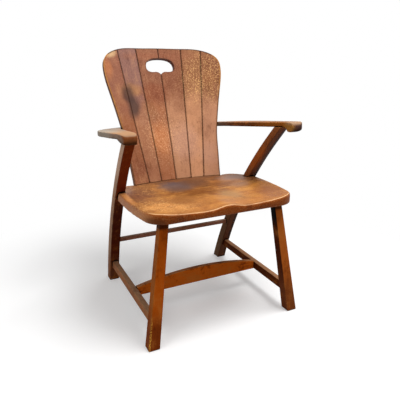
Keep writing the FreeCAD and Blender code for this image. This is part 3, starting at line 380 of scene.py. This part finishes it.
def stave_marks(side):
    """A dark stain, dark joints, chips and a gold rim; side tells where the rim is, if the stave has it."""
    def marks(finish, paint):
        square = finish.facing(stave_front)
        front = finish.between(square, 0.75, 0.95)
        paint = finish.mix(front, paint, finish.stains(paint, dark_stain, 0.3))

        front_or_rear = front + finish.between(square, -0.75, -0.95)
        hand_hold = finish.spot((0.004, 0.26, 0.851), (0.075, 0.3, 0.045), 0.0)
        joint = finish.between(finish.edge, 0.12, 0.34) * front_or_rear * (1 - hand_hold)
        paint = finish.mix(joint * 0.85, paint, colour(50, 24, 12))
        chipped = finish.spot((0.125, 0.22, 0.79), (0.06, 0.1, 0.11), 0.4)
        chipped = chipped * finish.between(finish.edge, 0.03, 0.12) * front_or_rear
        chip = finish.flecks(240.0, 0.6, 0.55, 0.66) * chipped
        paint = finish.mix(chip * 0.8, paint, colour(240, 196, 136))
        if not side:
            return paint

        height = finish.along(UP)
        flare = 0.13
        outer = finish.between(finish.along((side, 0, 0)) - height * flare, 0.09, 0.1)
        high = finish.between(height, 0.58, 0.68) if side < 0 else finish.between(height, 0.72, 0.8)
        rim = finish.between(finish.uneven(finish.edge, finish.patches, 0.4), 0.2, 0.42)
        rim = rim * outer * (0.15 + high * 0.8)
        return finish.mix(rim * 0.7, paint, colour(212, 146, 74))
    return marks


# Each stave: its colour at the top, its colour lower down, and the side of its rim
staves = (
    ((144, 92, 72), (152, 94, 64), -1),
    ((136, 96, 86), (164, 108, 78), 0),
    ((134, 84, 62), (168, 106, 72), 0),
    ((134, 82, 58), (188, 134, 100), 0),
    ((140, 90, 62), (204, 146, 108), 0),
    ((132, 82, 58), (190, 136, 104), 1),
)
for number, (top, low, side) in enumerate(staves, 1):
    tilt = (number - stave_middle) * fan
    along = (math.sin(tilt), math.sin(lean), math.cos(lean))
    paint_node("back_stave_%d" % number, wood(
        "stave_wood_%d" % number, along, RIGHT, number * stave_seed, stave_paint(top, low), stave_marks(side),
        rough=0.5, gloss=0.06, wear=0.0, pale=0.4, mottle=0.65, streak=0.45,
    ))


# Seat

seat_top = 0.43
seat_reach = 0.05
seat_rear = (0.0, 0.14, seat_top)


def on_seat(rows):
    """Stains on the top of the seat: each row gives a colour, a place, a reach and a strength in plan."""
    return [
        (shade, (x, y, seat_top), (wide, deep, seat_reach), strength)
        for shade, (x, y), (wide, deep), strength in rows
    ]


seat_ground = [((98, 56, 32), seat_rear, (0.38, 0.15, 0.08), 0.97)] + on_seat((
    ((112, 66, 46), (-0.21, -0.04), (0.09, 0.14), 0.95),
    ((118, 64, 20), (0.02, -0.07), (0.2, 0.12), 0.9),
    ((168, 106, 40), (0.17, -0.1), (0.08, 0.07), 0.7),
    ((134, 78, 42), (0.21, -0.22), (0.06, 0.08), 0.85),
    ((104, 62, 36), (0.11, 0.08), (0.08, 0.06), 0.8),
    ((176, 118, 58), (0.08, -0.22), (0.12, 0.035), 0.7),
    ((204, 138, 74), (-0.17, -0.22), (0.1, 0.06), 0.8),
    ((102, 62, 38), (0.24, -0.02), (0.05, 0.1), 0.8),
    ((186, 122, 68), (-0.266, -0.1), (0.022, 0.12), 0.8),
    ((190, 124, 62), (0.268, -0.16), (0.02, 0.1), 0.8),
))
seat_stains = on_seat((
    ((92, 60, 42), (0.02, 0.03), (0.1, 0.08), 0.6),
    ((88, 78, 82), (-0.045, 0.016), (0.082, 0.088), 0.78),
    ((96, 66, 50), (-0.055, -0.03), (0.05, 0.05), 0.5),
    ((136, 84, 40), (-0.1, -0.17), (0.06, 0.06), 0.7),
    ((108, 58, 18), (-0.01, -0.1), (0.08, 0.06), 0.7),
    ((114, 64, 26), (0.12, -0.03), (0.06, 0.05), 0.6),
    ((136, 98, 76), (0.17, -0.08), (0.05, 0.04), 0.65),
    ((96, 62, 42), (0.025, 0.03), (0.07, 0.07), 0.6),
    ((162, 128, 84), (0.08, -0.165), (0.05, 0.06), 0.5),
    ((186, 124, 54), (0.03, -0.2), (0.05, 0.035), 0.5),
    ((150, 90, 46), (0.21, -0.2), (0.06, 0.06), 0.6),
    ((142, 112, 98), (0.2, 0.03), (0.075, 0.06), 0.75),
    ((112, 74, 48), (0.08, 0.09), (0.09, 0.04), 0.6),
    ((92, 54, 34), (-0.243, -0.1), (0.009, 0.07), 0.6),
)) + [((70, 36, 14), (-0.235, -0.285, 0.412), (0.06, 0.045, 0.018), 0.65)]


def seat_paint(finish):
    """Golden where it is sat on, brown and mauve round that, with painted light and shade on its edges."""
    boards = finish.noise(finish.stretch(finish.place, (1.2, 9.0, 1.0)), 1.0, 1.0)
    paint = finish.mix(finish.between(boards, 0.4, 0.6), colour(152, 96, 48), colour(170, 108, 54))
    paint = finish.stains(paint, seat_ground)

    level = finish.facing(UP)
    # Painted light and shade on the edges: the front edge darker, the left edge paler
    on_edge = finish.between(level, 0.9, 0.55)
    edge_paint = finish.mix(finish.faces(LEFT, 0.6, 0.95), colour(138, 64, 10), colour(180, 114, 68))
    paint = finish.mix(on_edge, paint, edge_paint)
    # A pale line where the top turns over the front: partly a worn arris, partly a painted highlight
    tipped = finish.between(level, 0.8, 0.9) * finish.between(level, 0.99, 0.96)
    arris = tipped * finish.faces(FRONT, 0.1, 0.3)
    paint = finish.mix(arris * (0.6 + finish.patches * 0.8), paint, colour(226, 182, 136))

    rear = finish.spot(seat_rear, (0.36, 0.15, 0.08))
    light = finish.mix(rear, colour(216, 152, 78), colour(158, 102, 62))
    return paint, finish.mix(on_edge, light, colour(160, 84, 30))


def seat_marks(finish, paint):
    """Streaks worn across the boards, fine pale flecks and stains."""
    streaks = finish.noise(finish.stretch(finish.place, (16.0, 170.0, 26.0)), 1.0, 3.0, 0.6, 0.5)
    sat_on = finish.spot((0.06, -0.1, seat_top), (0.24, 0.12, 0.06), 0.5)
    worn = finish.between(streaks, 0.5, 0.62) * sat_on
    paint = finish.mix(worn * 0.5, paint, colour(208, 148, 72))
    fleck = finish.flecks(260.0, 0.8, 0.53, 0.61)
    paint = finish.mix(fleck * 0.16, paint, colour(232, 178, 116))
    front_left = finish.spot((-0.17, -0.2, seat_top), (0.14, 0.1, 0.06), 0.4)
    rear_left = finish.spot((-0.16, 0.02, seat_top), (0.16, 0.12, 0.06), 0.4)
    golden = front_left + rear_left * 0.5
    paint = finish.mix(golden * fleck * 0.7, paint, colour(242, 192, 126))
    return finish.stains(paint, seat_stains, 0.25)


seat_boards = ["seat_board_%d" % number for number in range(1, 5)]
seat = worn_copy(seat_boards, "worn_seat", face_size=0.003, passes=8)
seat.data.materials.append(wood(
    "seat_wood", RIGHT, REAR, 5.4, seat_paint, seat_marks,
    rough=0.45, gloss=0.1, wear=0.0, mottle=1.2,
))


# Frame

plain_brown = (110, 60, 26)
rail_brown = (112, 62, 34)


def frame_paint(front, outer, inner, side, top=(150, 100, 62), foot=None):
    """Each face of a piece gets its own colour, painted light and shade for the way it faces; side is 1 on
    the right and -1 on the left.
    """
    def paint_on(finish):
        # Front, outer, inner and top faces take lit and shaded colours: painted light and shade
        paint = finish.mix(finish.faces((side, 0, 0)), colour(*front), colour(*outer))
        paint = finish.mix(finish.faces((-side, 0, 0)), paint, colour(*inner))
        paint = finish.mix(finish.faces(UP), paint, colour(*top))
        # Painted shade on faces that look down
        paint = finish.mix(finish.faces(DOWN, 0.1, 0.7) * 0.8, paint, colour(44, 22, 10))
        if foot:
            foot_start, foot_full = 0.17, 0.07
            low = finish.between(finish.uneven(finish.along(UP), finish.broad, 0.1), foot_start, foot_full)
            paint = finish.mix(low * 0.85, paint, colour(*foot))
        return paint, colour(190, 112, 46)
    return paint_on


def shade_under_seat(finish, paint):
    """Painted shade where a leg meets the seat."""
    shade_start, shade_full = 0.377, 0.388
    high = finish.between(finish.uneven(finish.along(UP), finish.patches, 0.004), shade_start, shade_full)
    return finish.mix(high * 0.8, paint, colour(18, 7, 4))


def left_leg_marks(finish, paint):
    """Bright specks on the outer arris of the foot, where shoes have rubbed it."""
    paint = shade_under_seat(finish, paint)
    splay, rake = 0.16, 0.07
    low = finish.between(finish.along(UP), 0.13, 0.05)
    outer = finish.between(finish.along((-1, 0, splay)), 0.2745, 0.277)
    front = finish.between(finish.along((0, -1, rake)), 0.2985, 0.301)
    specks = outer * front * finish.flecks(300.0, 0.7, 0.49, 0.56) * low
    return finish.mix(specks, paint, colour(236, 172, 70))


def right_leg_marks(finish, paint):
    """Painted shade under the seat on its inner face, and golden where its foot is rubbed."""
    rubbed = finish.spot((0.268, -0.22, 0.05), (0.016, 0.02, 0.05), 0.6)
    paint = finish.mix(rubbed * 0.6, paint, colour(186, 112, 40))
    paint = shade_under_seat(finish, paint)
    # Painted shade: near black on the inner face just under the seat
    high = finish.between(finish.along(UP), 0.3, 0.36)
    return finish.mix(high * finish.faces(LEFT, 0.3, 0.6), paint, colour(2, 1, 1))


def left_post_marks(finish, paint):
    """Redder on the front, below the arm, and a paler painted sheen toward the top on the outer face."""
    height = finish.uneven(finish.along(UP), finish.patches, 0.1)
    red = finish.faces(FRONT) * finish.between(height, 0.36, 0.5) * finish.between(height, 0.66, 0.6)
    paint = finish.mix(red * 0.5, paint, colour(150, 58, 18))
    # Painted sheen: pale grey tan toward the top of the outer face
    painted_sheen = finish.between(finish.uneven(finish.along(UP), finish.broad, 0.2), 0.38, 0.54)
    return finish.mix(painted_sheen * finish.faces(LEFT) * 0.85, paint, colour(206, 168, 142))


def right_post_marks(finish, paint):
    """The brown of the inner face runs on over half of the front, and some of it is rubbed orange."""
    height = finish.along(UP)
    splay, inner_face = 0.02, 0.254
    across = finish.along((1, 0, -splay)) - inner_face
    front = finish.faces(FRONT, 0.3, 0.6)
    brown = finish.between(finish.uneven(across, finish.patches, 0.006), 0.007, 0.001) * front
    paint = finish.mix(brown * 0.85, paint, colour(112, 66, 42))
    grey = finish.between(across, 0.004, 0.008) * front * finish.between(height, 0.42, 0.48)
    paint = finish.mix(grey * 0.6, paint, colour(108, 96, 98))
    low = finish.between(height, 0.3, 0.2) * finish.faces(LEFT)
    paint = finish.mix(low * 0.7, paint, colour(122, 90, 64))
    rubbed = finish.spot((0.25, -0.06, 0.52), (0.012, 0.12, 0.07), 0.4)
    return finish.mix(rubbed * 0.45, paint, colour(176, 92, 26))


def left_arm_marks(finish, paint):
    """Warmer at the front of its top, where the hand lies, and a grey painted reflection along its outer
    edge.
    """
    warm = finish.between(finish.along(REAR), 0.0, -0.14) * finish.faces(UP)
    paint = finish.mix(warm * 0.8, paint, colour(178, 132, 92))
    outer = finish.between(finish.uneven(finish.along(LEFT), finish.patches, 0.02), 0.262, 0.285)
    length = finish.uneven(finish.along(REAR), finish.broad, 0.06)
    # Painted reflection: grey along the arm's outer edge
    grey_reflection = outer * finish.between(length, -0.19, -0.11) * finish.between(length, 0.13, 0.04)
    return finish.mix(grey_reflection * 0.5, paint, colour(168, 160, 144))


def right_arm_marks(finish, paint):
    """Grey-brown at the back, a painted reflection, and orange at the front, with a pale painted highlight on
    the end of the roll.
    """
    side = finish.faces(LEFT, 0.2, 0.5)
    length = finish.uneven(finish.along(REAR), finish.patches, 0.1)
    paint = finish.mix(finish.between(length, -0.02, -0.14) * side * 0.9, paint, colour(146, 84, 26))
    # Painted reflection: grey-brown on the inner face toward the back
    paint = finish.mix(finish.between(length, 0.04, 0.18) * side * 0.8, paint, colour(100, 86, 78))
    return finish.stains(paint, (
        ((164, 116, 54), (0.261, -0.23, 0.647), (0.02, 0.032, 0.022), 0.8),
        # A pale painted highlight on the top of the roll's end
        ((168, 138, 112), (0.285, -0.235, 0.664), (0.05, 0.035, 0.012), 0.7),
    ), 0.2)


# The colours of each side's pieces (front, outside, inside, top and foot) and the marks over them
# The face colours carry painted light and shade; the greyer tints on the left post and arm and on the arm
# tops are painted sheen
side_tones = {
    "left": {
        "side": -1,
        "leg": frame_paint((178, 80, 8), (154, 84, 28), (60, 20, 2), -1, foot=(112, 46, 10)),
        "post": frame_paint((112, 30, 2), (156, 118, 92), (74, 26, 8), -1, foot=(116, 66, 40)),
        "stretcher": frame_paint(plain_brown, (160, 104, 66), (92, 44, 12), -1, (164, 124, 92)),
        "arm": frame_paint((128, 72, 38), (142, 118, 102), (104, 58, 30), -1, (158, 140, 124)),
        "leg_marks": left_leg_marks,
        "post_marks": left_post_marks,
        "arm_marks": left_arm_marks,
    },
    "right": {
        "side": 1,
        "leg": frame_paint((180, 92, 30), (138, 66, 16), (78, 28, 2), 1, foot=(112, 56, 24)),
        "post": frame_paint((72, 56, 56), (110, 66, 44), (140, 84, 46), 1, foot=(80, 48, 32)),
        "stretcher": frame_paint(plain_brown, (128, 72, 34), (92, 38, 4), 1, (170, 124, 90)),
        "arm": frame_paint((78, 54, 50), (104, 70, 54), (100, 58, 30), 1, (140, 104, 76)),
        "leg_marks": right_leg_marks,
        "post_marks": right_post_marks,
        "arm_marks": right_arm_marks,
    },
}
post_grain = (0, -0.5, 0.87)
for name, tones in side_tones.items():
    side = tones["side"]
    paint_node("front_leg_%s" % name, wood(
        "leg_wood_%s" % name, UP, RIGHT, 9.1 + side, tones["leg"], tones["leg_marks"],
    ))
    paint_node("rear_post_%s" % name, wood(
        "post_wood_%s" % name, post_grain, RIGHT, 11.3 + side, tones["post"], tones["post_marks"],
    ))
    paint_node("side_stretcher_%s" % name, wood(
        "side_wood_%s" % name, REAR, RIGHT, 13.7 + side, tones["stretcher"],
    ))
    arm = worn_copy(["arm_%s" % name], "worn_arm_%s" % name, face_size=0.0025, passes=4)
    arm.data.materials.append(wood(
        "arm_wood_%s" % name, REAR, RIGHT, 15.1 + side, tones["arm"], tones["arm_marks"],
        wear=0.0, deep=0.7, mottle=1.2,
    ))

middle = frame_paint((208, 100, 22), plain_brown, plain_brown, 1, (170, 112, 70))
paint_node("center_stretcher", wood(
    "center_wood", RIGHT, UP, 17.9, middle, wear=0.8, deep=0.95, mottle=1.6,
))
rear = frame_paint((164, 110, 86), plain_brown, plain_brown, 1, (170, 134, 112))
paint_node("rear_stretcher", wood("rear_wood", RIGHT, UP, 19.3, rear))
rail = frame_paint(rail_brown, plain_brown, plain_brown, 1, (150, 104, 74))
paint_node("back_rail", wood("rail_wood", RIGHT, REAR, 21.7, rail))
plugs = frame_paint(rail_brown, (122, 80, 54), plain_brown, 1, (140, 94, 64))
plug_wood = wood("plug_wood", REAR, RIGHT, 23.3, plugs, wear=0.2)
for name in ("rail_plugs", "seat_edge_plugs", "post_plugs"):
    paint_node(name, plug_wood)


def screw_steel():
    """Dull steel, darkened by the wood."""
    finish = Finish("screw_steel")
    tarnish = finish.noise(finish.place, 300.0, 3.0)
    paint = finish.mix(finish.between(tarnish, 0.35, 0.7), colour(150, 148, 142), colour(92, 84, 76))
    return finish.surface({"Base Color": paint, "Metallic": 1.0, "Roughness": 0.35 + tarnish * 0.3})


steel = screw_steel()
for name in ("rail_screws", "seat_edge_screws", "post_screws"):
    paint_node(name, steel)


# Floor, backdrop and lamps

white = (1, 1, 1, 1)
pale_paper = (0.8, 0.8, 0.8, 1)
grey_paper = (0.5, 0.5, 0.5, 1)


def studio_floor():
    """White paper that keeps the chair's shadow and fades to plain white away from it.

    The chair is lit by a greyer paper than the one that is seen.
    """
    finish = Finish("pale_floor")
    fade_start, fade_end = 0.7, 1.2
    paper = finish.node("ShaderNodeBsdfDiffuse", {}, {"Color": grey_paper})
    bright = finish.node("ShaderNodeBsdfDiffuse", {}, {"Color": pale_paper})
    glow = finish.node("ShaderNodeEmission", {}, {"Color": white, "Strength": 0.28})
    shaded = finish.node("ShaderNodeAddShader", {}, {0: bright, 1: glow})
    plain = finish.node("ShaderNodeEmission", {}, {"Color": white, "Strength": 1.0})
    away = finish.between(finish.length(finish.place), fade_start, fade_end)
    paper_seen = finish.node("ShaderNodeMixShader", {}, {"Fac": away, 1: shaded, 2: plain})
    both = finish.node("ShaderNodeMixShader", {}, {"Fac": finish.seen(), 1: paper, 2: paper_seen})
    finish.node("ShaderNodeOutputMaterial", {}, {"Surface": both})
    return finish.material


def studio_world():
    """Plain white where it is seen and a soft even light on the chair."""
    world = bpy.data.worlds.new("studio")
    finish = Finish("studio", world)
    soft = finish.node("ShaderNodeBackground", {}, {"Color": white, "Strength": 0.3})
    plain = finish.node("ShaderNodeBackground", {}, {"Color": white, "Strength": 1.0})
    both = finish.node("ShaderNodeMixShader", {}, {"Fac": finish.seen(), 1: soft, 2: plain})
    finish.node("ShaderNodeOutputWorld", {}, {"Surface": both})
    return world


def soft_lamp(name, place, aim, width, watts):
    """A square white soft box that points at a place."""
    light = bpy.data.lights.new(name, "AREA")
    light.shape = "RECTANGLE"
    light.size = width
    light.size_y = width
    light.energy = watts
    lamp = bpy.data.objects.new(name, light)
    bpy.context.scene.collection.objects.link(lamp)
    lamp.location = place
    lamp.rotation_euler = (Vector(place) - Vector(aim)).to_track_quat("Z", "Y").to_euler()


floor_width = 60
bpy.ops.mesh.primitive_plane_add(size=floor_width, location=(0, 0, 0))
floor = bpy.context.object
floor.name = "floor"
floor.data.materials.append(studio_floor())
bpy.context.scene.world = studio_world()
soft_lamp("overhead_lamp", (0.5, -0.5, 2.5), aim=(0, 0, 0.4), width=1.2, watts=54)
soft_lamp("left_lamp", (-1.9, -0.8, 1.9), aim=(0, 0, 0.5), width=1.2, watts=14)


# Camera

# Where the photo was taken from, fitted to the chair's edges
azimuth, elevation, roll = -0.439645, 0.292713, -0.0115
camera_place = (-0.59139, -1.34870, 0.81395)
lens, sensor = 37.051, 36
level = Vector((math.cos(azimuth), math.sin(azimuth), 0))
away = Vector((math.sin(azimuth), -math.cos(azimuth), 0))
back = away * math.cos(elevation) + Vector(UP) * math.sin(elevation)
upward = back.cross(level)
right = level * math.cos(roll) + upward * math.sin(roll)
over = upward * math.cos(roll) - level * math.sin(roll)
view = bpy.data.cameras.new("camera")
view.sensor_width = sensor
view.lens = lens
view.clip_start = 0.05
view.clip_end = 100
camera = bpy.data.objects.new("camera", view)
bpy.context.scene.collection.objects.link(camera)
turn = Matrix((right, over, back)).transposed().to_4x4()
camera.matrix_world = Matrix.Translation(camera_place) @ turn
bpy.context.scene.camera = camera
bpy.context.scene.view_settings.view_transform = "Standard"
